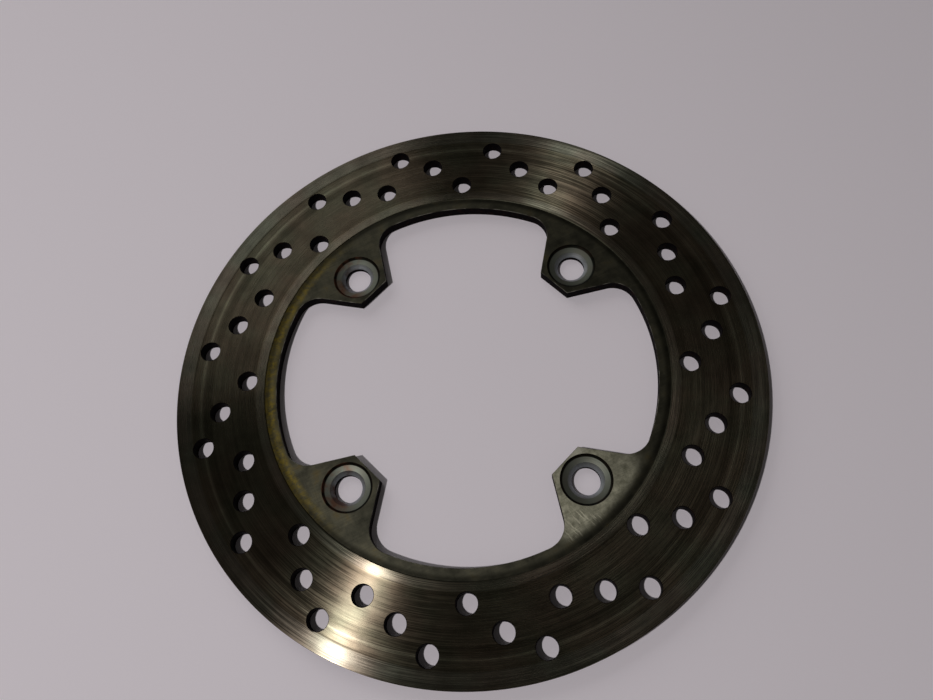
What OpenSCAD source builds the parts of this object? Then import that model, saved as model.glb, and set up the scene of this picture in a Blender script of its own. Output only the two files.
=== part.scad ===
// Fixed rear brake disc for a motorcycle: one flat steel plate with a drilled
// friction band and lugs inside the opening that bolt straight to the hub.
// Z is the wheel axis. z = 0 is the hub-side face of the lugs, +Z is outboard.

/* [Disc] */
// Diameter over the rim
disc_d = 220; // [180:1:280]
// Thickness as made, still there on the margins the pads never reach
made_t = 5; // [4:0.1:8]
// Depth worn off each face where the pads run
wear = 0.1; // [0.05:0.05:0.3]
// Depth of the land and lugs below each made face
land_drop = 0.2; // [0.1:0.05:0.6]
// Chamfer on the two rim edges
rim_break = 0.3; // [0.1:0.05:0.8]

/* [Friction band] */
// Width of the thinner land between the opening and the friction band
land_w = 4.3; // [2:0.1:10]
// Margin the pads never reach, at the inner edge of the band
inner_margin = 3.5; // [1:0.1:6]
// Margin the pads never reach, at the rim
rim_margin = 5.7; // [1:0.1:8]

/* [Lugs] */
// Number of lugs, one bolt in each
lug_count = 4; // [3:1:6]
// Metal left between a bolt seat and the flat lug tip
tip_wall = 0.8; // [0.5:0.1:4]
// Metal left between a bolt seat and each side of the lug
side_wall = 2; // [1:0.1:6]
// Metal left between a bolt seat and the circle of the opening
root_wall = 2.3; // [1:0.1:8]
// Angle each lug side opens away from the lug centre line
lug_flare = 33.5; // [20:0.5:40]
// Radius where a lug side runs into the opening
lug_fillet = 9; // [4:0.5:12]

/* [Bolt holes] */
// Diameter of the bolt circle
mount_pcd = 120; // [90:1:150]
// Diameter of each bolt hole
mount_bore = 10.2; // [8:0.1:13]
// Diameter of the seat at the outboard face
seat_d = 18.4; // [14:0.2:24]
// Depth of the steep lip at the edge of the seat
lip_depth = 0.9; // [0.4:0.1:1.5]
// Inward run of that lip
lip_run = 0.8; // [0.3:0.1:1.5]
// Inward run of the shallow dish inside the lip
dish_run = 1.9; // [0.5:0.1:2.5]
// Drop of that dish over its run
dish_drop = 0.4; // [0.1:0.1:1]
// Length of plain bore left below the countersink under the dish
throat_len = 1.9; // [0.6:0.1:2.2]

/* [Vent holes] */
// Diameter of each vent hole
vent_d = 7.5; // [5:0.1:10]
// Chamfer on both ends of a vent hole
vent_break = 0.2; // [0.1:0.05:0.6]
// Pairs of three-hole rows around the disc
row_pairs = 8; // [4:1:10]
// Angle from one hole to the next along a row
row_step = 7.5; // [5:0.5:9]
// Rim to the centres of the outermost vent holes
vent_rim_gap = 9.4; // [6:0.1:14]
// Inner edge of the band to the centres of the innermost vent holes
vent_band_gap = 7.2; // [5:0.1:12]
// First row from outer to inner hole, 1 at the outermost circle, 0 innermost
row_a = [1, 0.574, 0]; // [0:0.001:1]
// Second row from outer to inner hole, on the same scale
row_b = [0.96, 0.523, 0.233]; // [0:0.001:1]
// Extra angle on the inner hole of the second row
row_b_lean = 1.4; // [0:0.1:3]

/* [Hidden] */
$fn = 128;
// overshoot so that no cutter ends flush with a face
over = 1;

rim_r = disc_d / 2;
mount_r = mount_pcd / 2;
seat_r = seat_d / 2;
opening_r = mount_r + seat_r + root_wall;
band_r = opening_r + land_w;
track_in_r = band_r + inner_margin;
track_out_r = rim_r - rim_margin;
vent_in_r = band_r + vent_band_gap;
vent_out_r = rim_r - vent_rim_gap;

land_t = made_t - 2 * land_drop;
top_z = land_t + land_drop;
// run of the short ramps between one level and the next
ramp = 0.3;

lug_pitch = 360 / lug_count;
row_pitch = 360 / (2 * row_pairs);
// the inner hole of the first row lies on the first lug's centre line
row_start = lug_pitch / 2 + (len(row_a) - 1) * row_step;

// lug outline, in a frame with the lug centre line along +X
tip_x = mount_r - seat_r - tip_wall;
side_off = seat_r + side_wall;
tip_half = side_off / cos(lug_flare) - (mount_r - tip_x) * tan(lug_flare);
// the fillet circle touches the lug side and the opening circle
fillet_off = side_off + lug_fillet;
side_run = sqrt(pow(opening_r - lug_fillet, 2)
                - pow(mount_r * sin(lug_flare) - fillet_off, 2))
           - mount_r * cos(lug_flare);
fillet_x = mount_r - fillet_off * sin(lug_flare) + side_run * cos(lug_flare);
fillet_y = fillet_off * cos(lug_flare) + side_run * sin(lug_flare);
side_x = fillet_x + lug_fillet * sin(lug_flare);
side_y = fillet_y - lug_fillet * cos(lug_flare);
// the fillet cutter runs this far past tangent, so that the faces cross cleanly
fillet_bite = 0.01;
root_angle = atan2(fillet_y, fillet_x);
root_x = (opening_r + fillet_bite / 2) * cos(root_angle);
root_y = (opening_r + fillet_bite / 2) * sin(root_angle);

// every copy of a lug feature, first lug half a pitch round from +X
module at_lugs() {
    for (i = [0 : lug_count - 1])
        rotate([0, 0, (i + 0.5) * lug_pitch])
            children();
}

// the same feature on both sides of a lug centre line
module both_sides() {
    children();
    mirror([0, 1, 0])
        children();
}

// section from the axis through land, margin, track and rim, still without
// the opening, revolved about the axis
module disc_section() {
    polygon([
        [0, 0],
        [band_r, 0],
        [band_r + ramp, -land_drop],
        [track_in_r, -land_drop],
        [track_in_r + ramp, -land_drop + wear],
        [track_out_r - ramp, -land_drop + wear],
        [track_out_r, -land_drop],
        [rim_r - rim_break, -land_drop],
        [rim_r, -land_drop + rim_break],
        [rim_r, top_z - rim_break],
        [rim_r - rim_break, top_z],
        [track_out_r, top_z],
        [track_out_r - ramp, top_z - wear],
        [track_in_r + ramp, top_z - wear],
        [track_in_r, top_z],
        [band_r + ramp, top_z],
        [band_r, land_t],
        [0, land_t]
    ]);
}

// one lug with a flat tip, flared sides and filleted roots, its outer end
// beyond the opening circle
module lug_plan() {
    difference() {
        polygon([
            [tip_x, -tip_half],
            [side_x, -side_y],
            [root_x, -root_y],
            [opening_r + over, -root_y],
            [opening_r + over, root_y],
            [root_x, root_y],
            [side_x, side_y],
            [tip_x, tip_half]
        ]);
        both_sides()
            translate([fillet_x, fillet_y])
                circle(r = lug_fillet + fillet_bite);
    }
}

// the opening, which leaves the lugs standing
module opening_plan() {
    difference() {
        circle(r = opening_r);
        at_lugs()
            lug_plan();
    }
}

// seat and bore for one bolt, cut from the outboard face: lip, dish,
// countersink and plain bore
module bolt_seat() {
    bore_r = mount_bore / 2;
    rotate_extrude()
        polygon([
            [0, -over],
            [bore_r, -over],
            [bore_r, throat_len],
            [seat_r - lip_run - dish_run, land_t - lip_depth - dish_drop],
            [seat_r - lip_run, land_t - lip_depth],
            [seat_r, land_t],
            [seat_r, land_t + over],
            [0, land_t + over]
        ]);
}

// one straight vent hole, chamfered where it meets the worn track
module vent() {
    low_z = -land_drop + wear;
    high_z = top_z - wear;
    cut = vent_break + over;
    vent_r = vent_d / 2;
    rotate_extrude()
        polygon([
            [0, low_z - over],
            [vent_r + cut, low_z - over],
            [vent_r, low_z + vent_break],
            [vent_r, high_z - vent_break],
            [vent_r + cut, high_z + over],
            [0, high_z + over]
        ]);
}

// one slanted row of vent holes, outer hole first
module vent_row(shares, lean) {
    for (i = [0 : len(shares) - 1])
        rotate([0, 0, -i * row_step - (i == len(shares) - 1 ? lean : 0)])
            translate([vent_in_r + shares[i] * (vent_out_r - vent_in_r), 0, 0])
                vent();
}

module brake_disc() {
    color([0.42, 0.42, 0.40])
        difference() {
            rotate_extrude()
                disc_section();
            translate([0, 0, -over])
                linear_extrude(land_t + 2 * over)
                    opening_plan();
            at_lugs()
                translate([mount_r, 0, 0])
                    bolt_seat();
            for (i = [0 : row_pairs - 1])
                rotate([0, 0, row_start + 2 * i * row_pitch]) {
                    vent_row(row_a, 0);
                    rotate([0, 0, -row_pitch])
                        vent_row(row_b, row_b_lean);
                }
        }
}

brake_disc();
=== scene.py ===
import math
import random

import bpy
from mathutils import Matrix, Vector


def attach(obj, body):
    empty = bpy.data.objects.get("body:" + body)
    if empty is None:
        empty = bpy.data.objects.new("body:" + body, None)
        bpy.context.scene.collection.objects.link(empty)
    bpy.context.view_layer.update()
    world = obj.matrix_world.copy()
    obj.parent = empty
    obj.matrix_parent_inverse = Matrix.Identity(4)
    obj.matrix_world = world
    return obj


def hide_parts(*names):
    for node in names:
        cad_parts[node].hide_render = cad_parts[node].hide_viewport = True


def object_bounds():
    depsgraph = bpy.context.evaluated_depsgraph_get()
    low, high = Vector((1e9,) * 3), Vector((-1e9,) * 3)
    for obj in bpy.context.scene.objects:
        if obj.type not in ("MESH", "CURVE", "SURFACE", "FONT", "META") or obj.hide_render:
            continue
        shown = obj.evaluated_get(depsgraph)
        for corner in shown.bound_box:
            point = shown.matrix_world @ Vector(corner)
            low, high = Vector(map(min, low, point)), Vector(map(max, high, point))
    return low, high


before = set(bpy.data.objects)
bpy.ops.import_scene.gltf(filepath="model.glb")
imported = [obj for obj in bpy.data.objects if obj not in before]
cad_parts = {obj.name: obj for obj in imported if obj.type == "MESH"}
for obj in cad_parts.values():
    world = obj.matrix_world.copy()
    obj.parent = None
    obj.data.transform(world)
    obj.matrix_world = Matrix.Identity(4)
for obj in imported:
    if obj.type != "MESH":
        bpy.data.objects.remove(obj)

cad_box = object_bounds()


# ---------------------------------------------------------------------------
# The disc plate.
# A fixed rear disc is laser-cut from one sheet of martensitic stainless steel,
# hardened, and ground flat; the lugs and land are ground a little thinner.
# ---------------------------------------------------------------------------

# sizes are in millimetres, and a mesh is in metres
MM = 0.001
CAD_RIM_R = round(cad_box[1][0] / MM, 1)
MADE_LOW = round(cad_box[0][2] / MM, 1)
MADE_TOP = round(cad_box[1][2] / MM, 1)
# the CAD rim has many flat sides, so this one stays just inside its box
RIM_R = CAD_RIM_R - 0.04
BOLT_CIRCLE_R = 60.0
SEAT_R = 9.2
# metal left between a bolt seat and the circle of the opening
ROOT_WALL = 2.3
OPENING_R = BOLT_CIRCLE_R + SEAT_R + ROOT_WALL
LAND_W = 4.3
LAND_OUT_R = OPENING_R + LAND_W
# the pads never reach these margins, at the inner edge and at the rim
INNER_MARGIN = 3.5
RIM_MARGIN = 5.7
TRACK_IN_R = LAND_OUT_R + INNER_MARGIN
TRACK_OUT_R = CAD_RIM_R - RIM_MARGIN
LAND_DROP = 0.2
LAND_TOP = MADE_TOP - LAND_DROP
WEAR = 0.1
RAMP = 0.3
RIM_BREAK = 0.3
EDGE_BREAK = 0.16
GROOVE_STEP = 0.5
GROOVE_DEPTH = 0.006
# one band of the track is scored deeper than the rest
SCORED_FROM, SCORED_TO = 96.2, 98.6
SCORED_DEPTH = 0.010
SIDES = 288
# points closer than this are one point
MERGE_WITHIN = 0.002


def deselect():
    if bpy.context.object and bpy.context.object.mode != "OBJECT":
        bpy.ops.object.mode_set(mode="OBJECT")
    bpy.ops.object.select_all(action="DESELECT")


def pick(piece):
    deselect()
    piece.select_set(True)
    bpy.context.view_layer.objects.active = piece


def draw_round(name, profile, sides, closed_loop=False):
    """Draws a turned shape up its profile, ring by ring, from one circle."""
    deselect()
    radius, height = profile[0]
    fill = "NOTHING" if closed_loop else "NGON"
    bpy.ops.mesh.primitive_circle_add(
        vertices=sides, radius=radius * MM, fill_type=fill)
    piece = bpy.context.object
    piece.name = name
    bpy.ops.object.mode_set(mode="EDIT")
    bpy.ops.mesh.select_all(action="SELECT")
    bpy.ops.transform.translate(value=(0, 0, height * MM))
    stops = profile[1:] + (profile[:1] if closed_loop else [])
    for next_radius, next_height in stops:
        bpy.ops.mesh.extrude_region_move(TRANSFORM_OT_translate={
            "value": (0, 0, (next_height - height) * MM)})
        grow = next_radius / radius
        bpy.ops.transform.resize(
            value=(grow, grow, 1), center_override=(0, 0, 0))
        radius, height = next_radius, next_height
    bpy.ops.mesh.select_all(action="SELECT")
    bpy.ops.mesh.remove_doubles(threshold=MERGE_WITHIN * MM)
    bpy.ops.mesh.normals_make_consistent(inside=False)
    bpy.ops.object.mode_set(mode="OBJECT")
    return piece


def rounded(corner_r, corner_z, in_dir, out_dir, size, steps=3):
    """Points of a small rounded edge, from the in_dir side to the out_dir side."""
    points = []
    for k in range(steps + 1):
        a = k / steps * math.pi / 2
        back_in = size * (1 - math.sin(a))
        back_out = size * (1 - math.cos(a))
        points.append((corner_r + in_dir[0] * back_in + out_dir[0] * back_out,
                       corner_z + in_dir[1] * back_in + out_dir[1] * back_out))
    return points


def grooved(start, stop, level, outward_sign, rng):
    """A pad-worn face: level, with shallow concentric grooves cut into it."""
    count = int(abs(stop - start) / GROOVE_STEP)
    step = (stop - start) / count
    points = []
    for k in range(count + 1):
        depth = rng.uniform(0, GROOVE_DEPTH)
        if SCORED_FROM < start + k * step < SCORED_TO:
            depth += SCORED_DEPTH
        if k in (0, count):
            depth = 0
        points.append((start + k * step, level - outward_sign * depth))
    return points


# the section runs from the opening out along the hub side and back on top
rng = random.Random(31)
profile = []
profile += rounded(OPENING_R, 0, (0, 1), (1, 0), EDGE_BREAK)
profile += [(LAND_OUT_R, 0), (LAND_OUT_R + RAMP, MADE_LOW)]
profile += [(TRACK_IN_R, MADE_LOW)]
profile += grooved(TRACK_IN_R + RAMP, TRACK_OUT_R - RAMP, MADE_LOW + WEAR, -1, rng)
profile += [(TRACK_OUT_R, MADE_LOW)]
profile += rounded(RIM_R, MADE_LOW, (-1, 0), (0, 1), RIM_BREAK)
profile += rounded(RIM_R, MADE_TOP, (0, -1), (-1, 0), RIM_BREAK)
profile += [(TRACK_OUT_R, MADE_TOP)]
profile += grooved(TRACK_OUT_R - RAMP, TRACK_IN_R + RAMP, MADE_TOP - WEAR, 1, rng)
profile += [(TRACK_IN_R, MADE_TOP), (LAND_OUT_R + RAMP, MADE_TOP)]
profile += [(LAND_OUT_R, LAND_TOP)]
profile += rounded(OPENING_R, LAND_TOP, (1, 0), (0, -1), EDGE_BREAK)
disc = draw_round("disc_plate", profile, SIDES, closed_loop=True)


# ---------------------------------------------------------------------------
# The four lugs.
# They are part of the same plate: flat-tipped, flared towards the opening, and
# run into it with a 9 mm fillet on each side.
# ---------------------------------------------------------------------------

LUGS = 4
# metal left between a bolt seat and the lug tip, and each side of the lug
TIP_WALL = 0.8
SIDE_WALL = 2.0
TIP_X = BOLT_CIRCLE_R - SEAT_R - TIP_WALL
SIDE_OFF = SEAT_R + SIDE_WALL
FLARE = math.radians(33.5)
FILLET_R = 9.0
# how far a lug's root runs into the plate, so that the two join
ROOT_LAP = 0.4
# a cutter stands this far past the faces that it cuts
OVER = 1
CUTTER_SIDES = 96
# play allowed when edges are found by their place
SLACK = 0.01


def select_edges(piece, wanted):
    """Selects, in edit mode, the edges whose ends, in mm, pass a test."""
    bpy.ops.object.mode_set(mode="EDIT")
    bpy.ops.mesh.select_mode(type="EDGE")
    bpy.ops.mesh.select_all(action="DESELECT")
    bpy.ops.object.mode_set(mode="OBJECT")
    for edge in piece.data.edges:
        a, b = (piece.data.vertices[v].co / MM for v in edge.vertices)
        edge.select = wanted(a, b)
    bpy.ops.object.mode_set(mode="EDIT")


def combine(piece, tool, operation):
    """Joins or cuts one solid with another and throws the tool away."""
    pick(piece)
    modifier = piece.modifiers.new("Combine", "BOOLEAN")
    modifier.operation = operation
    modifier.solver = "MANIFOLD"
    modifier.object = tool
    bpy.ops.object.modifier_apply(modifier=modifier.name)
    bpy.data.objects.remove(tool)


def ring_of(piece, angles):
    """Copies a piece round the wheel axis and joins the copies into one."""
    copies = []
    for angle in angles:
        copy = piece.copy()
        copy.data = piece.data.copy()
        copy.rotation_euler = (0, 0, math.radians(angle))
        bpy.context.collection.objects.link(copy)
        copies.append(copy)
    bpy.data.objects.remove(piece)
    deselect()
    for copy in copies:
        copy.select_set(True)
    bpy.context.view_layer.objects.active = copies[0]
    bpy.ops.object.transform_apply(location=True, rotation=True, scale=True)
    bpy.ops.object.join()
    return bpy.context.object


# the outline, with the lug's centre line along +X: the fillet circle touches
# the lug's side and the circle of the opening
tip_half = SIDE_OFF / math.cos(FLARE) - (BOLT_CIRCLE_R - TIP_X) * math.tan(FLARE)
fillet_off = SIDE_OFF + FILLET_R
side_run = (math.sqrt((OPENING_R - FILLET_R) ** 2
                      - (BOLT_CIRCLE_R * math.sin(FLARE) - fillet_off) ** 2)
            - BOLT_CIRCLE_R * math.cos(FLARE))
fillet_x = (BOLT_CIRCLE_R - fillet_off * math.sin(FLARE)
            + side_run * math.cos(FLARE))
fillet_y = fillet_off * math.cos(FLARE) + side_run * math.sin(FLARE)
side_x = fillet_x + FILLET_R * math.sin(FLARE)
side_y = fillet_y - FILLET_R * math.cos(FLARE)
root_angle = math.atan2(fillet_y, fillet_x)
root_x = OPENING_R * math.cos(root_angle)
root_y = OPENING_R * math.sin(root_angle)
lug_angles = [360 / LUGS * (k + 0.5) for k in range(LUGS)]

# the blank: one flat bar, its inner end drawn in to the tip
deselect()
bpy.ops.mesh.primitive_plane_add(size=2 * MM)
lug = bpy.context.object
lug.name = "lug"
for vert in lug.data.vertices:
    inner = vert.co.x < 0
    half = tip_half if inner else side_y
    vert.co = (
        (TIP_X if inner else side_x) * MM,
        math.copysign(half * MM, vert.co.y), 0)
select_edges(lug, lambda a, b: min(a.x, b.x) > side_x - SLACK)
at_x, at_y = side_x, side_y
for next_x, next_y in ((root_x, root_y), (OPENING_R + ROOT_LAP, root_y)):
    bpy.ops.mesh.extrude_region_move(TRANSFORM_OT_translate={
        "value": ((next_x - at_x) * MM, 0, 0)})
    bpy.ops.transform.resize(value=(1, next_y / at_y, 1), center_override=(0, 0, 0))
    at_x, at_y = next_x, next_y
bpy.ops.mesh.select_all(action="SELECT")
bpy.ops.mesh.extrude_region_move(TRANSFORM_OT_translate={
    "value": (0, 0, LAND_TOP * MM)})
bpy.ops.mesh.select_all(action="SELECT")
bpy.ops.mesh.normals_make_consistent(inside=False)


def on_free_end(a, b):
    """True for the level edges of the tip and the straight sides of a lug."""
    same_level = abs(a.z - b.z) < SLACK
    free = max(a.x, b.x) < side_x + SLACK
    across_the_face = abs(a.x - b.x) < SLACK and a.x > TIP_X + SLACK
    return same_level and free and not across_the_face


select_edges(lug, on_free_end)
bpy.ops.mesh.bevel(offset=EDGE_BREAK * MM, segments=3, affect="EDGES")
bpy.ops.object.mode_set(mode="OBJECT")
combine(disc, ring_of(lug, lug_angles), "UNION")

# the fillets are milled out where the lugs run into the opening
mill_profile = [(FILLET_R + EDGE_BREAK, -OVER)]
mill_profile += rounded(FILLET_R, 0, (1, 0), (0, 1), EDGE_BREAK)
mill_profile += rounded(FILLET_R, LAND_TOP, (0, -1), (1, 0), EDGE_BREAK)
mill_profile += [(FILLET_R + EDGE_BREAK, LAND_TOP + OVER)]
for side in (-1, 1):
    mill = draw_round("fillet_mill", mill_profile, CUTTER_SIDES)
    mill.location = (fillet_x * MM, side * fillet_y * MM, 0)
    pick(mill)
    bpy.ops.object.transform_apply(location=True, rotation=True, scale=True)
    combine(disc, ring_of(mill, lug_angles), "DIFFERENCE")


# ---------------------------------------------------------------------------
# The bolt seats.
# Each lug has one plain hole with a turned seat on the outboard face: a steep
# lip, a shallow dish and a countersink, so the screw head sits below the face.
# ---------------------------------------------------------------------------

BORE_R = 5.1
THROAT_TOP = 1.9
LIP_DEPTH = 0.9
LIP_RUN = 0.8
DISH_RUN = 1.9
DISH_DROP = 0.4
SEAT_BREAK = 0.12

# the three points before the last round the lip over into the lug's face
seat_profile = [(BORE_R + SEAT_BREAK, -OVER)]
seat_profile += rounded(BORE_R, 0, (1, 0), (0, 1), SEAT_BREAK)
seat_profile += [(BORE_R, THROAT_TOP),
                 (SEAT_R - LIP_RUN - DISH_RUN, LAND_TOP - LIP_DEPTH - DISH_DROP),
                 (SEAT_R - LIP_RUN, LAND_TOP - LIP_DEPTH),
                 (SEAT_R - SEAT_BREAK / 2, LAND_TOP - SEAT_BREAK),
                 (SEAT_R + SEAT_BREAK / 6, LAND_TOP - SEAT_BREAK / 4),
                 (SEAT_R + SEAT_BREAK, LAND_TOP),
                 (SEAT_R + SEAT_BREAK, LAND_TOP + OVER)]
seat_cutter = draw_round("seat_cutter", seat_profile, CUTTER_SIDES)
seat_cutter.location = (BOLT_CIRCLE_R * MM, 0, 0)
pick(seat_cutter)
bpy.ops.object.transform_apply(location=True, rotation=True, scale=True)
combine(disc, ring_of(seat_cutter, lug_angles), "DIFFERENCE")


# ---------------------------------------------------------------------------
# The vent holes.
# Forty-eight plain holes in sixteen slanted rows of three let out gas and
# brake dust; each edge is broken where it meets the worn track.
# ---------------------------------------------------------------------------

VENT_R = 3.75
VENT_BREAK = 0.22
VENT_BREAK_STEPS = 2
# from the band's inner edge and from the rim to the centres of the holes
VENT_BAND_GAP = 7.2
VENT_RIM_GAP = 9.4
VENT_IN_R = LAND_OUT_R + VENT_BAND_GAP
VENT_OUT_R = CAD_RIM_R - VENT_RIM_GAP
DRILL_SIDES = 48
ROW_STEP = 7.5
ROW_PAIRS = 8
# each hole's place across the band, 1 outermost, and its extra angle
ROW_A = ((1.0, 0.0), (0.574, 0.0), (0.0, 0.0))
ROW_B = ((0.96, 0.0), (0.523, 0.0), (0.233, -1.4))
# a smaller angle than this between faces, in degrees, is smoothed: the broken
# edges of the holes meet the track at more, so they stay crisp
SMOOTH_BELOW = 20

track_top = MADE_TOP - WEAR
track_low = MADE_LOW + WEAR
row_pitch = 360 / (2 * ROW_PAIRS)
# the inner hole of the first row lies on the first lug's centre line
first_row = lug_angles[0] + (len(ROW_A) - 1) * ROW_STEP
drill_profile = [(VENT_R + VENT_BREAK, track_low - OVER)]
drill_profile += rounded(
    VENT_R, track_low, (1, 0), (0, 1), VENT_BREAK, VENT_BREAK_STEPS)
drill_profile += rounded(
    VENT_R, track_top, (0, -1), (1, 0), VENT_BREAK, VENT_BREAK_STEPS)
drill_profile += [(VENT_R + VENT_BREAK, track_top + OVER)]
drill = draw_round("drill", drill_profile, DRILL_SIDES)
drills = []
for turn, row in ((0.0, ROW_A), (-row_pitch, ROW_B)):
    for k, (share, lean) in enumerate(row):
        bit = drill.copy()
        bit.data = drill.data.copy()
        bpy.context.collection.objects.link(bit)
        bit_r = VENT_IN_R + share * (VENT_OUT_R - VENT_IN_R)
        bit_angle = math.radians(turn - k * ROW_STEP + lean)
        bit.location = (bit_r * MM * math.cos(bit_angle),
                        bit_r * MM * math.sin(bit_angle), 0)
        drills.append(bit)
bpy.data.objects.remove(drill)
deselect()
for bit in drills:
    bit.select_set(True)
bpy.context.view_layer.objects.active = drills[0]
bpy.ops.object.transform_apply(location=True, rotation=True, scale=True)
bpy.ops.object.join()
row_angles = [first_row + 2 * row_pitch * k for k in range(ROW_PAIRS)]
combine(disc, ring_of(bpy.context.object, row_angles), "DIFFERENCE")

pick(disc)
bpy.ops.object.mode_set(mode="EDIT")
bpy.ops.mesh.select_all(action="SELECT")
bpy.ops.mesh.remove_doubles(threshold=MERGE_WITHIN * MM)
bpy.ops.object.mode_set(mode="OBJECT")
bpy.ops.object.shade_smooth_by_angle(angle=math.radians(SMOOTH_BELOW))
even = disc.modifiers.new("Even shading", "WEIGHTED_NORMAL")
even.keep_sharp = True
bpy.ops.object.modifier_apply(modifier=even.name)


# ---------------------------------------------------------------------------
# The finish.
# Stainless disc steel, polished by the pads in circles on the track, left
# satin on the lugs and margins, and darkened all over by heat and brake dust.
# ---------------------------------------------------------------------------

def colour(hex_code):
    """An sRGB hex colour as linear red, green, blue and alpha."""
    channels = [int(hex_code[k:k + 2], 16) / 255 for k in (1, 3, 5)]
    return tuple(
        c / 12.92 if c <= 0.04045 else ((c + 0.055) / 1.055) ** 2.4
        for c in channels) + (1.0,)


# A Map Range takes its value in socket 0, the range that it comes from in 1
# and 2, and the range that it goes to in 3 and 4. A colour Mix takes its share
# in 0 and its colours in 6 and 7, and gives its result in output 2.
def add_node(tree, kind, settings=None, inputs=None, stops=None):
    """Adds a node with its settings, its ramp stops, and its values or links."""
    made = tree.nodes.new(kind)
    for name, value in (settings or {}).items():
        setattr(made, name, value)
    for name, value in (inputs or {}).items():
        if isinstance(value, bpy.types.NodeSocket):
            tree.links.new(value, made.inputs[name])
        else:
            made.inputs[name].default_value = value
    if stops:
        points = made.color_ramp.elements
        while len(points) < len(stops):
            points.new(1.0)
        for point, (position, value) in zip(points, stops):
            point.position = position
            point.color = value
    return made


def new_finish(name, metallic):
    """A material, its node tree, its shader, and places on the plate in mm."""
    made = bpy.data.materials.new(name)
    made.use_nodes = True
    tree = made.node_tree
    shader = tree.nodes["Principled BSDF"]
    shader.inputs["Metallic"].default_value = metallic
    place = add_node(tree, "ShaderNodeTexCoord").outputs["Object"]
    in_mm = add_node(tree, "ShaderNodeVectorMath", {"operation": "SCALE"},
                     {0: place, "Scale": 1 / MM}).outputs[0]
    return made, tree, shader, in_mm


def from_axis(tree, in_mm):
    """The distance from the wheel axis in mm, and the direction away from it."""
    flat = add_node(tree, "ShaderNodeVectorMath", {"operation": "MULTIPLY"},
                    {0: in_mm, 1: (1, 1, 0)}).outputs[0]
    radius = add_node(tree, "ShaderNodeVectorMath", {"operation": "LENGTH"},
                      {0: flat}).outputs["Value"]
    heading = add_node(tree, "ShaderNodeVectorMath", {"operation": "NORMALIZE"},
                       {0: flat}).outputs[0]
    return radius, heading


# arcs have their stated length at this radius
MID_TRACK_R = 90.0


def ring_noise(tree, radius, heading, spacing, arc, detail=2.0):
    """Noise drawn out into arcs: spacing mm apart, about arc mm long."""
    across = add_node(tree, "ShaderNodeMath", {"operation": "DIVIDE"},
                      {0: radius, 1: spacing}).outputs[0]
    along = add_node(tree, "ShaderNodeVectorMath", {"operation": "SCALE"},
                     {0: heading, "Scale": MID_TRACK_R / arc}).outputs[0]
    parts = add_node(tree, "ShaderNodeSeparateXYZ", None, {0: along})
    spot = add_node(tree, "ShaderNodeCombineXYZ", None, {
        0: across, 1: parts.outputs[0], 2: parts.outputs[1]}).outputs[0]
    return add_node(tree, "ShaderNodeTexNoise", None, {
        "Vector": spot, "Scale": 1.0, "Detail": detail}).outputs["Fac"]


# Track: ground and then lapped by the pads, so every scratch runs in a circle
# and the shine spreads into a bow across the face. Real scratches lie some
# hundredths of a millimetre apart, and are drawn coarser so that they show.
SCRATCH_GAP, SCRATCH_ARC = 0.30, 22.0
SCRATCH_DEPTH = 0.03
WAVE_GAP, WAVE_ARC = 1.5, 120.0
BLOTCH_W = 9.1
STAIN_W = 20.0
BAND_FROM, BAND_TO = 74.0, 112.0
# colours out from the land: pale inner margin, worn track, the darker scored
# band, a pale unworn line, and the outer track and rim margin
bands = [
    (75.8, "#6c6455"), (76.6, "#968e80"), (78.9, "#867e71"), (79.6, "#696153"),
    (84.0, "#70685a"), (90.0, "#6b6356"), (95.8, "#6e6658"), (96.6, "#5d564a"),
    (98.6, "#615a4d"), (99.8, "#766e60"), (100.5, "#8e8877"), (101.3, "#746c5e"),
    (103.9, "#6a6254"), (104.5, "#7c776c"), (107.5, "#817c71"), (109.6, "#706a5f"),
]
track, tree, shader, in_mm = new_finish("lapped_track_steel", 1.0)
radius, heading = from_axis(tree, in_mm)
by_radius = add_node(tree, "ShaderNodeMapRange", None, {
    0: radius, 1: BAND_FROM, 2: BAND_TO, 3: 0.0, 4: 1.0}).outputs[0]
band_colour = add_node(
    tree, "ShaderNodeValToRGB", None, {0: by_radius},
    [((r - BAND_FROM) / (BAND_TO - BAND_FROM), colour(c)) for r, c in bands]
).outputs[0]
wide_arcs = ring_noise(tree, radius, heading, WAVE_GAP, WAVE_ARC)
fine_arcs = ring_noise(tree, radius, heading, SCRATCH_GAP, SCRATCH_ARC, 4.0)
blotches = add_node(tree, "ShaderNodeTexNoise", None, {
    "Vector": in_mm, "Scale": 1 / BLOTCH_W, "Detail": 5.0, "Roughness": 0.6}).outputs[0]
arcs = add_node(tree, "ShaderNodeMath", {"operation": "MULTIPLY"},
                {0: wide_arcs, 1: fine_arcs}).outputs[0]
arc_tone = add_node(tree, "ShaderNodeMapRange", None, {
    0: arcs, 1: 0.12, 2: 0.40, 3: 0.72, 4: 1.08}).outputs[0]
blotch_tone = add_node(tree, "ShaderNodeMapRange", None, {
    0: blotches, 1: 0.3, 2: 0.7, 3: 0.75, 4: 1.25}).outputs[0]
tone = add_node(tree, "ShaderNodeMath", {"operation": "MULTIPLY"},
                {0: arc_tone, 1: blotch_tone}).outputs[0]
stain = add_node(tree, "ShaderNodeTexNoise", None, {
    "Vector": in_mm, "Scale": 1 / STAIN_W, "Detail": 3.0}).outputs[0]
stain_colour = add_node(tree, "ShaderNodeValToRGB", None, {0: stain}, [
    (0.38, colour("#fff6f2")), (0.62, colour("#f2fdf6"))]).outputs[0]
stained = add_node(tree, "ShaderNodeVectorMath", {"operation": "MULTIPLY"},
                   {0: band_colour, 1: stain_colour}).outputs[0]
toned = add_node(tree, "ShaderNodeVectorMath", {"operation": "SCALE"},
                 {0: stained, "Scale": tone}).outputs[0]
tree.links.new(toned, shader.inputs["Base Color"])
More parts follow.
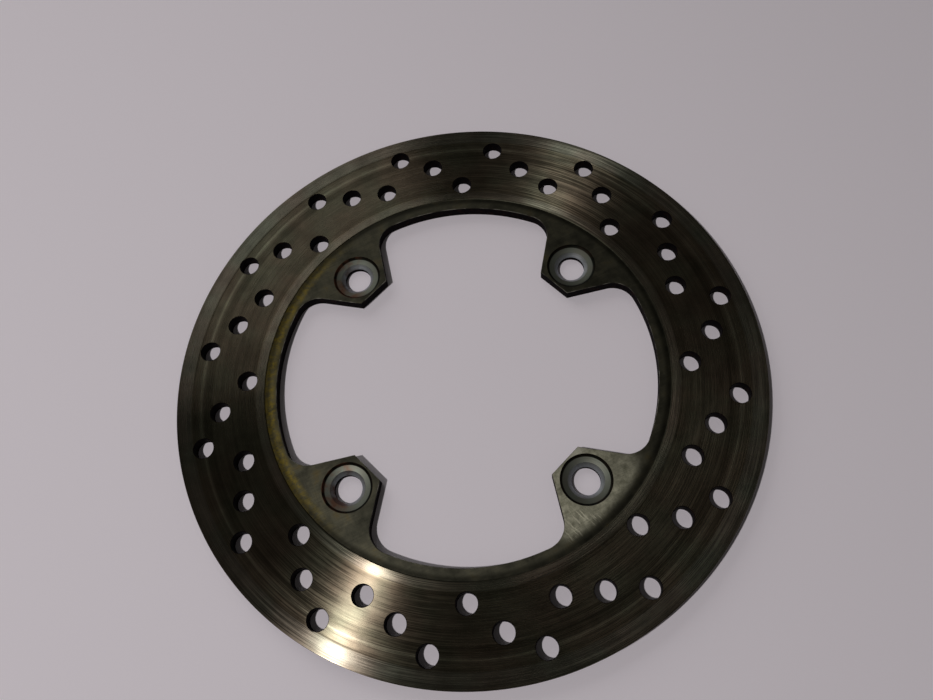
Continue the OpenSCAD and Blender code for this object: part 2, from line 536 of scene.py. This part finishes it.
gloss = add_node(tree, "ShaderNodeMapRange", None, {
    0: fine_arcs, 1: 0.42, 2: 0.62, 3: 0.22, 4: 0.34}).outputs[0]
tree.links.new(gloss, shader.inputs["Roughness"])
shader.inputs["Anisotropic"].default_value = 1.0
# a quarter turn, so that the shine spreads across the scratches
shader.inputs["Anisotropic Rotation"].default_value = 0.25
around = add_node(tree, "ShaderNodeTangent", {
    "direction_type": "RADIAL", "axis": "Z"}).outputs[0]
tree.links.new(around, shader.inputs["Tangent"])
scored = add_node(tree, "ShaderNodeBump", None, {
    "Strength": 0.35, "Distance": SCRATCH_DEPTH * MM, "Height": fine_arcs}).outputs[0]
tree.links.new(scored, shader.inputs["Normal"])

# Land and lugs: never touched by the pads, so they stay satin, with an olive
# film and faint random scratches; a straw-gold painted highlight lies on the
# land's outer part at -X, the lit side. The pits and scratches are drawn
# coarser than real ones, so that they show.
FILM_W = 6.25
PIT_W, PIT_DEPTH = 0.455, 0.05
# a straw-gold painted highlight lies on the land's outer part, at -X
STRAW_FROM_R, STRAW_FULL_R = 71.0, 73.4
STRAW_SPOT_W = 1.82
# the lug at +X -Y was rubbed bright, with streaks at its root
RUBBED_AT = (45.0, -47.0, LAND_TOP)
RUBBED_FULL, RUBBED_NONE = 14.0, 23.0
MOTTLE_W = 2.5
STREAKS_AT = (41.0, -58.5, LAND_TOP)
STREAKS_FULL, STREAKS_NONE = 4.0, 10.0
# one corner of the same lug's tip is chipped bright
CHIP_AT = (39.0, -31.5, LAND_TOP)
CHIP_FULL, CHIP_NONE = 1.5, 5.5
# rubbing hasn't reached the corner below the band
RUBBING_FULL_R, RUBBING_NONE_R = 70.5, 74.0
# brake dust packed into that corner, with an edge that wanders this much
GRIME_FROM_R, GRIME_FULL_R = 73.2, 75.0
GRIME_WANDER = 2.4
# the scratches change with height over about this distance
SCRATCH_TALL = 10.0
land, tree, shader, in_mm = new_finish("satin_lug_steel", 1.0)
radius, heading = from_axis(tree, in_mm)
film = add_node(tree, "ShaderNodeTexNoise", None, {
    "Vector": in_mm, "Scale": 1 / FILM_W, "Detail": 6.0, "Roughness": 0.62}).outputs[0]
film_colour = add_node(tree, "ShaderNodeValToRGB", None, {0: film}, [
    (0.30, colour("#45443a")), (0.48, colour("#535145")),
    (0.60, colour("#5e5b4c")), (0.74, colour("#62583f"))]).outputs[0]


def near(tree, in_mm, spot, full, none):
    """One near a place on the outboard face, falling smoothly to zero."""
    # heights count six times, so that the hub side stays out of reach
    tall = (1, 1, 6)
    stretched = add_node(tree, "ShaderNodeVectorMath", {"operation": "MULTIPLY"},
                         {0: in_mm, 1: tall}).outputs[0]
    centre = tuple(part * grow for part, grow in zip(spot, tall))
    away = add_node(tree, "ShaderNodeVectorMath", {"operation": "DISTANCE"},
                    {0: stretched, 1: centre}).outputs["Value"]
    return add_node(
        tree, "ShaderNodeMapRange", {"interpolation_type": "SMOOTHSTEP"},
        {0: away, 1: full, 2: none, 3: 1.0, 4: 0.0}).outputs[0]


def scratches(tree, in_mm, angle, length, width):
    """Straight scratches at one angle, from noise drawn out along them."""
    turned = add_node(tree, "ShaderNodeMapping", None, {
        "Vector": in_mm, "Rotation": (0, 0, math.radians(-angle))}).outputs[0]
    drawn = add_node(
        tree, "ShaderNodeVectorMath", {"operation": "MULTIPLY"},
        {0: turned, 1: (1 / length, 1 / width, 1 / SCRATCH_TALL)}).outputs[0]
    return add_node(tree, "ShaderNodeTexNoise", None, {
        "Vector": drawn, "Scale": 1.0, "Detail": 3.0}).outputs[0]


# painted highlight: a patchy straw-gold glow on the land's -X side
side = add_node(tree, "ShaderNodeSeparateXYZ", None, {0: heading})
straw_side = add_node(
    tree, "ShaderNodeMapRange", {"interpolation_type": "SMOOTHSTEP"},
    {0: side.outputs[0], 1: -0.55, 2: -0.97, 3: 0.0, 4: 1.0}).outputs[0]
straw_ring = add_node(
    tree, "ShaderNodeMapRange", {"interpolation_type": "SMOOTHSTEP"},
    {0: radius, 1: STRAW_FROM_R, 2: STRAW_FULL_R, 3: 0.0, 4: 0.95}).outputs[0]
straw_spots = add_node(tree, "ShaderNodeTexNoise", None, {
    "Vector": in_mm, "Scale": 1 / STRAW_SPOT_W,
    "Detail": 5.0, "Roughness": 0.65}).outputs[0]
straw_patch = add_node(tree, "ShaderNodeMapRange", None, {
    0: straw_spots, 1: 0.42, 2: 0.60, 3: 0.22, 4: 1.0}).outputs[0]
straw_place = add_node(tree, "ShaderNodeMath", {"operation": "MULTIPLY"},
                       {0: straw_side, 1: straw_ring}).outputs[0]
straw_highlight = add_node(tree, "ShaderNodeMath", {"operation": "MULTIPLY"},
                 {0: straw_place, 1: straw_patch}).outputs[0]

rubbing_reach = add_node(
    tree, "ShaderNodeMapRange", {"interpolation_type": "SMOOTHSTEP"},
    {0: radius, 1: RUBBING_FULL_R, 2: RUBBING_NONE_R, 3: 1.0, 4: 0.0}).outputs[0]
rubbed_patch = near(tree, in_mm, RUBBED_AT, RUBBED_FULL, RUBBED_NONE)
rubbed = add_node(tree, "ShaderNodeMath", {"operation": "MULTIPLY"},
                  {0: rubbed_patch, 1: rubbing_reach}).outputs[0]
mottle = add_node(tree, "ShaderNodeTexNoise", None, {
    "Vector": in_mm, "Scale": 1 / MOTTLE_W, "Detail": 6.0, "Roughness": 0.68}).outputs[0]
rubbed_colour = add_node(tree, "ShaderNodeValToRGB", None, {0: mottle}, [
    (0.34, colour("#a09e88")), (0.50, colour("#cac7af")),
    (0.66, colour("#e9e5cb"))]).outputs[0]

streaks = scratches(tree, in_mm, -48.0, 4.5, 0.55)
streak_lines = add_node(tree, "ShaderNodeMapRange", None, {
    0: streaks, 1: 0.55, 2: 0.63, 3: 0.0, 4: 1.0}).outputs[0]
streak_place = near(tree, in_mm, STREAKS_AT, STREAKS_FULL, STREAKS_NONE)
streaks_kept = add_node(tree, "ShaderNodeMath", {"operation": "MULTIPLY"},
                        {0: streak_lines, 1: rubbing_reach}).outputs[0]
streaked = add_node(tree, "ShaderNodeMath", {"operation": "MULTIPLY"},
                    {0: streaks_kept, 1: streak_place}).outputs[0]
chipped = near(tree, in_mm, CHIP_AT, CHIP_FULL, CHIP_NONE)

# each mark lies over the ones before it
steel_tone = film_colour
for share, mark_colour in (
        (straw_highlight, colour("#8d7b35")), (rubbed, rubbed_colour),
        (streaked, colour("#fffae0")), (chipped, colour("#f2eeda"))):
    steel_tone = add_node(tree, "ShaderNodeMix", {"data_type": "RGBA"}, {
        0: share, 6: steel_tone, 7: mark_colour}).outputs[2]

light_marks = scratches(tree, in_mm, 25.0, 9.0, 0.35)
light_tone = add_node(tree, "ShaderNodeMapRange", None, {
    0: light_marks, 1: 0.35, 2: 0.68, 3: 0.92, 4: 1.10}).outputs[0]
cross_marks = scratches(tree, in_mm, 112.0, 7.0, 0.3)
cross_tone = add_node(tree, "ShaderNodeMapRange", None, {
    0: cross_marks, 1: 0.35, 2: 0.68, 3: 0.96, 4: 1.05}).outputs[0]
marks = add_node(tree, "ShaderNodeMath", {"operation": "MULTIPLY"},
                 {0: light_tone, 1: cross_tone}).outputs[0]
grime_edge = add_node(tree, "ShaderNodeMath", {"operation": "MULTIPLY_ADD"},
                      {0: film, 1: GRIME_WANDER, 2: -GRIME_WANDER / 2}).outputs[0]
grime_at = add_node(tree, "ShaderNodeMath", {"operation": "ADD"},
                    {0: radius, 1: grime_edge}).outputs[0]
grime = add_node(
    tree, "ShaderNodeMapRange", {"interpolation_type": "SMOOTHSTEP"},
    {0: grime_at, 1: GRIME_FROM_R, 2: GRIME_FULL_R, 3: 0.88, 4: 0.36}).outputs[0]
shade = add_node(tree, "ShaderNodeMath", {"operation": "MULTIPLY"},
                 {0: marks, 1: grime}).outputs[0]
dulled = add_node(tree, "ShaderNodeVectorMath", {"operation": "SCALE"},
                  {0: steel_tone, "Scale": shade}).outputs[0]
tree.links.new(dulled, shader.inputs["Base Color"])
satin = add_node(tree, "ShaderNodeMapRange", None, {
    0: film, 1: 0.3, 2: 0.7, 3: 0.35, 4: 0.46}).outputs[0]
tree.links.new(satin, shader.inputs["Roughness"])
grain = add_node(tree, "ShaderNodeTexNoise", None, {
    "Vector": in_mm, "Scale": 1 / PIT_W, "Detail": 3.0}).outputs[0]
relief = add_node(tree, "ShaderNodeMath", {"operation": "ADD"},
                  {0: grain, 1: light_marks}).outputs[0]
pitted = add_node(tree, "ShaderNodeBump", None, {
    "Strength": 0.3, "Distance": PIT_DEPTH * MM, "Height": relief}).outputs[0]
tree.links.new(pitted, shader.inputs["Normal"])

# Cut walls: laser-cut, then coated with brake soot, near black and matt, with
# brown rust showing through in places. The near black is partly that soot and
# partly painted shade, for walls that lie in shadow. The soot hides the metal,
# and is a loose powder that gives almost no shine, so its IOR is set close to
# that of air.
SOOT_W = 2.0
# the beam leaves upright ribs, drawn coarser than they are so that they show
RIB_W, RIB_TALL, RIB_DEPTH = 0.385, 4.0, 0.08
wall, tree, shader, in_mm = new_finish("sooty_shaded_cut_wall", 0.0)
soot = add_node(tree, "ShaderNodeTexNoise", None, {
    "Vector": in_mm, "Scale": 1 / SOOT_W, "Detail": 4.0}).outputs[0]
# painted shade: the near-black stops darken the cut walls as if they lay in shadow, on top
# of the soot
soot_and_shade_colour = add_node(tree, "ShaderNodeValToRGB", None, {0: soot}, [
    (0.35, colour("#080507")), (0.55, colour("#0d080a")),
    (0.72, colour("#22130f"))]).outputs[0]
tree.links.new(soot_and_shade_colour, shader.inputs["Base Color"])
shader.inputs["Roughness"].default_value = 0.7
shader.inputs["IOR"].default_value = 1.1
upright = add_node(tree, "ShaderNodeVectorMath", {"operation": "MULTIPLY"},
                   {0: in_mm, 1: (1 / RIB_W, 1 / RIB_W, 1 / RIB_TALL)}).outputs[0]
ribs = add_node(tree, "ShaderNodeTexNoise", None, {
    "Vector": upright, "Scale": 1.0, "Detail": 2.0}).outputs[0]
ribbed = add_node(tree, "ShaderNodeBump", None, {
    "Strength": 0.5, "Distance": RIB_DEPTH * MM, "Height": ribs}).outputs[0]
tree.links.new(ribbed, shader.inputs["Normal"])

# Bolt seats: turned, then clamped by the screws, so they keep turning marks,
# drawn coarser than real ones so that they show, and are brightest in the
# countersink. The steep lip round each seat is painted near black: painted
# shade. Rust creeps in on the two seats at -X, and barely on the others.
RUST_W = 4.55
RUST_FULL_X, RUST_LEAST_X = -45.0, -38.0
TURNING_GAP, TURNING_DEPTH = 0.357, 0.05
seat, tree, shader, in_mm = new_finish("turned_seat_steel", 1.0)
# the four seats are alike, so all are measured in one quarter of the plate
quarter = add_node(tree, "ShaderNodeVectorMath", {"operation": "ABSOLUTE"},
                   {0: in_mm}).outputs[0]
quarter_flat = add_node(tree, "ShaderNodeVectorMath", {"operation": "MULTIPLY"},
                        {0: quarter, 1: (1, 1, 0)}).outputs[0]
bolt_x = BOLT_CIRCLE_R / math.sqrt(2)
from_hole = add_node(tree, "ShaderNodeVectorMath", {"operation": "DISTANCE"},
                     {0: quarter_flat, 1: (bolt_x, bolt_x, 0)}).outputs["Value"]
across_seat = add_node(tree, "ShaderNodeMapRange", None, {
    0: from_hole, 1: BORE_R, 2: SEAT_R, 3: 0.0, 4: 1.0}).outputs[0]
# the last two stops are painted shade: they paint the steep lip near black
seat_colour = add_node(tree, "ShaderNodeValToRGB", None, {0: across_seat}, [
    (0.0, colour("#b2b6bd")), (0.30, colour("#9a9d9d")), (0.36, colour("#72756c")),
    (0.78, colour("#686b62")), (0.84, colour("#2b2c27")),
    (1.0, colour("#141411"))]).outputs[0]
rust = add_node(tree, "ShaderNodeTexNoise", None, {
    "Vector": in_mm, "Scale": 1 / RUST_W, "Detail": 5.0}).outputs[0]
rust_amount = add_node(tree, "ShaderNodeMapRange", None, {
    0: rust, 1: 0.42, 2: 0.62, 3: 0.0, 4: 0.85}).outputs[0]
along_x = add_node(tree, "ShaderNodeSeparateXYZ", None, {0: in_mm}).outputs[0]
rust_side = add_node(
    tree, "ShaderNodeMapRange", {"interpolation_type": "SMOOTHSTEP"},
    {0: along_x, 1: RUST_FULL_X, 2: RUST_LEAST_X, 3: 1.0, 4: 0.12}).outputs[0]
rusted = add_node(tree, "ShaderNodeMath", {"operation": "MULTIPLY"},
                  {0: rust_amount, 1: rust_side}).outputs[0]
rusted_colour = add_node(tree, "ShaderNodeMix", {"data_type": "RGBA"}, {
    0: rusted, 6: seat_colour, 7: colour("#6a4636")}).outputs[2]
tree.links.new(rusted_colour, shader.inputs["Base Color"])
shader.inputs["Roughness"].default_value = 0.5
turning = add_node(tree, "ShaderNodeTexNoise", {"noise_dimensions": "1D"}, {
    "W": from_hole, "Scale": 1 / TURNING_GAP, "Detail": 2.0}).outputs[0]
turned_marks = add_node(tree, "ShaderNodeBump", None, {
    "Strength": 0.5, "Distance": TURNING_DEPTH * MM, "Height": turning}).outputs[0]
tree.links.new(turned_marks, shader.inputs["Normal"])

# Broken edges: handled and rubbed, so a thin line of cleaner steel shows.
EDGE_PATCH_W = 3.33
rubbed_edge, tree, shader, in_mm = new_finish("rubbed_edge_steel", 1.0)
edge_wear = add_node(tree, "ShaderNodeTexNoise", None, {
    "Vector": in_mm, "Scale": 1 / EDGE_PATCH_W, "Detail": 5.0}).outputs[0]
edge_colour = add_node(tree, "ShaderNodeValToRGB", None, {0: edge_wear}, [
    (0.42, colour("#3f3d33")), (0.56, colour("#77756a")),
    (0.70, colour("#b3b0a2"))]).outputs[0]
tree.links.new(edge_colour, shader.inputs["Base Color"])
shader.inputs["Roughness"].default_value = 0.4

# how level a face lies is the height of its normal: 0 upright, 1 flat
BORE_WALL_BELOW = 0.3
WALL_BELOW = 0.25
EDGE_BELOW = 0.97
HOLE_EDGE_BELOW = 0.935
# play allowed when a face is found by its distance from a hole or the axis
HOLE_SLACK = 0.05
RING_SLACK = 0.1
# the broken edges of the opening and lugs lie at least this far in from the
# land's outer edge
EDGES_WITHIN = 1

bolt_places = [Vector((BOLT_CIRCLE_R * MM * math.cos(math.radians(a)),
                       BOLT_CIRCLE_R * MM * math.sin(math.radians(a))))
               for a in lug_angles]


def finish_of(face):
    """The finish of one face, from where it is and how level it lies."""
    spot = face.center.xy
    reach = spot.length / MM
    level = abs(face.normal.z)
    bolt = min(bolt_places, key=lambda place: (spot - place).length)
    spread = [(disc.data.vertices[v].co.xy - bolt).length / MM
              for v in face.vertices]
    in_band = (LAND_OUT_R + RAMP + RING_SLACK < reach
               < RIM_R - RIM_BREAK - RING_SLACK)
    if max(spread) < SEAT_R + SEAT_BREAK + HOLE_SLACK:
        in_bore = min(spread) < BORE_R + HOLE_SLACK and level < BORE_WALL_BELOW
        return wall if in_bore else seat
    if level < WALL_BELOW:
        return wall
    if reach < LAND_OUT_R - EDGES_WITHIN and level < EDGE_BELOW:
        return rubbed_edge
    if reach < LAND_OUT_R + RAMP / 2:
        return land
    if level < HOLE_EDGE_BELOW and in_band:
        return wall
    return track


finishes = [track, land, wall, seat, rubbed_edge]
disc.data.materials.clear()
for finish in finishes:
    disc.data.materials.append(finish)
for face in disc.data.polygons:
    face.material_index = finishes.index(finish_of(face))

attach(disc, "root")
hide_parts("brake_disc")


# ---------------------------------------------------------------------------
# Floor, lights and camera.
# The disc lies flat on pale matt paper, under one small lamp that draws the bow
# of shine on the track, one wide soft lamp and a faint even light.
# ---------------------------------------------------------------------------

# in metres: the floor, and the nearest that the camera sees
FLOOR_W = 3.0
NEAREST_SEEN = 0.01
WORLD_STRENGTH = 0.11
# the camera looks down the wheel axis from above, leaning towards -Y: its
# place is in millimetres and its turns about X, Y and Z in degrees
CAMERA_AT = (25.03, -108.85, 279.40)
CAMERA_TURNS = (23.01, 5.28, -0.70)
FOCAL_LENGTH, SENSOR_W = 30.64, 36.0

deselect()
bpy.ops.mesh.primitive_plane_add(size=FLOOR_W, location=(0, 0, MADE_LOW * MM))
floor = bpy.context.object
floor.name = "floor"
paper = bpy.data.materials.new("pale_paper")
paper.use_nodes = True
paper_shader = paper.node_tree.nodes["Principled BSDF"]
paper_shader.inputs["Base Color"].default_value = colour("#fbf3fc")
paper_shader.inputs["Roughness"].default_value = 0.9
floor.data.materials.append(paper)


def soft_light(name, azimuth, from_vertical, distance, size, watts, tint):
    """A square lamp aimed at the middle of the disc: degrees and metres."""
    a, v = math.radians(azimuth), math.radians(from_vertical)
    aim = Vector((math.sin(v) * math.cos(a), math.sin(v) * math.sin(a), math.cos(v)))
    lamp = bpy.data.lights.new(name, "AREA")
    lamp.size = size
    lamp.energy = watts
    lamp.color = colour(tint)[:3]
    made = bpy.data.objects.new(name, lamp)
    made.location = aim * distance
    made.rotation_euler = aim.to_track_quat("Z", "Y").to_euler()
    bpy.context.collection.objects.link(made)


soft_light("key", azimuth=215, from_vertical=27, distance=1.3, size=0.05,
           watts=6.0, tint="#fffdfb")
soft_light("sky", azimuth=128, from_vertical=60, distance=1.6, size=1.2,
           watts=4.3, tint="#fbfaf6")

world = bpy.data.worlds.new("studio")
world.use_nodes = True
background = world.node_tree.nodes["Background"]
background.inputs["Color"].default_value = colour("#b8b6b0")
background.inputs["Strength"].default_value = WORLD_STRENGTH
bpy.context.scene.world = world

lens = bpy.data.cameras.new("camera")
lens.lens = FOCAL_LENGTH
lens.sensor_width = SENSOR_W
lens.clip_start = NEAREST_SEEN
camera = bpy.data.objects.new("camera", lens)
camera.location = Vector(CAMERA_AT) * MM
camera.rotation_euler = [math.radians(turn) for turn in CAMERA_TURNS]
bpy.context.collection.objects.link(camera)
bpy.context.scene.camera = camera
bpy.context.scene.view_settings.view_transform = "Standard"
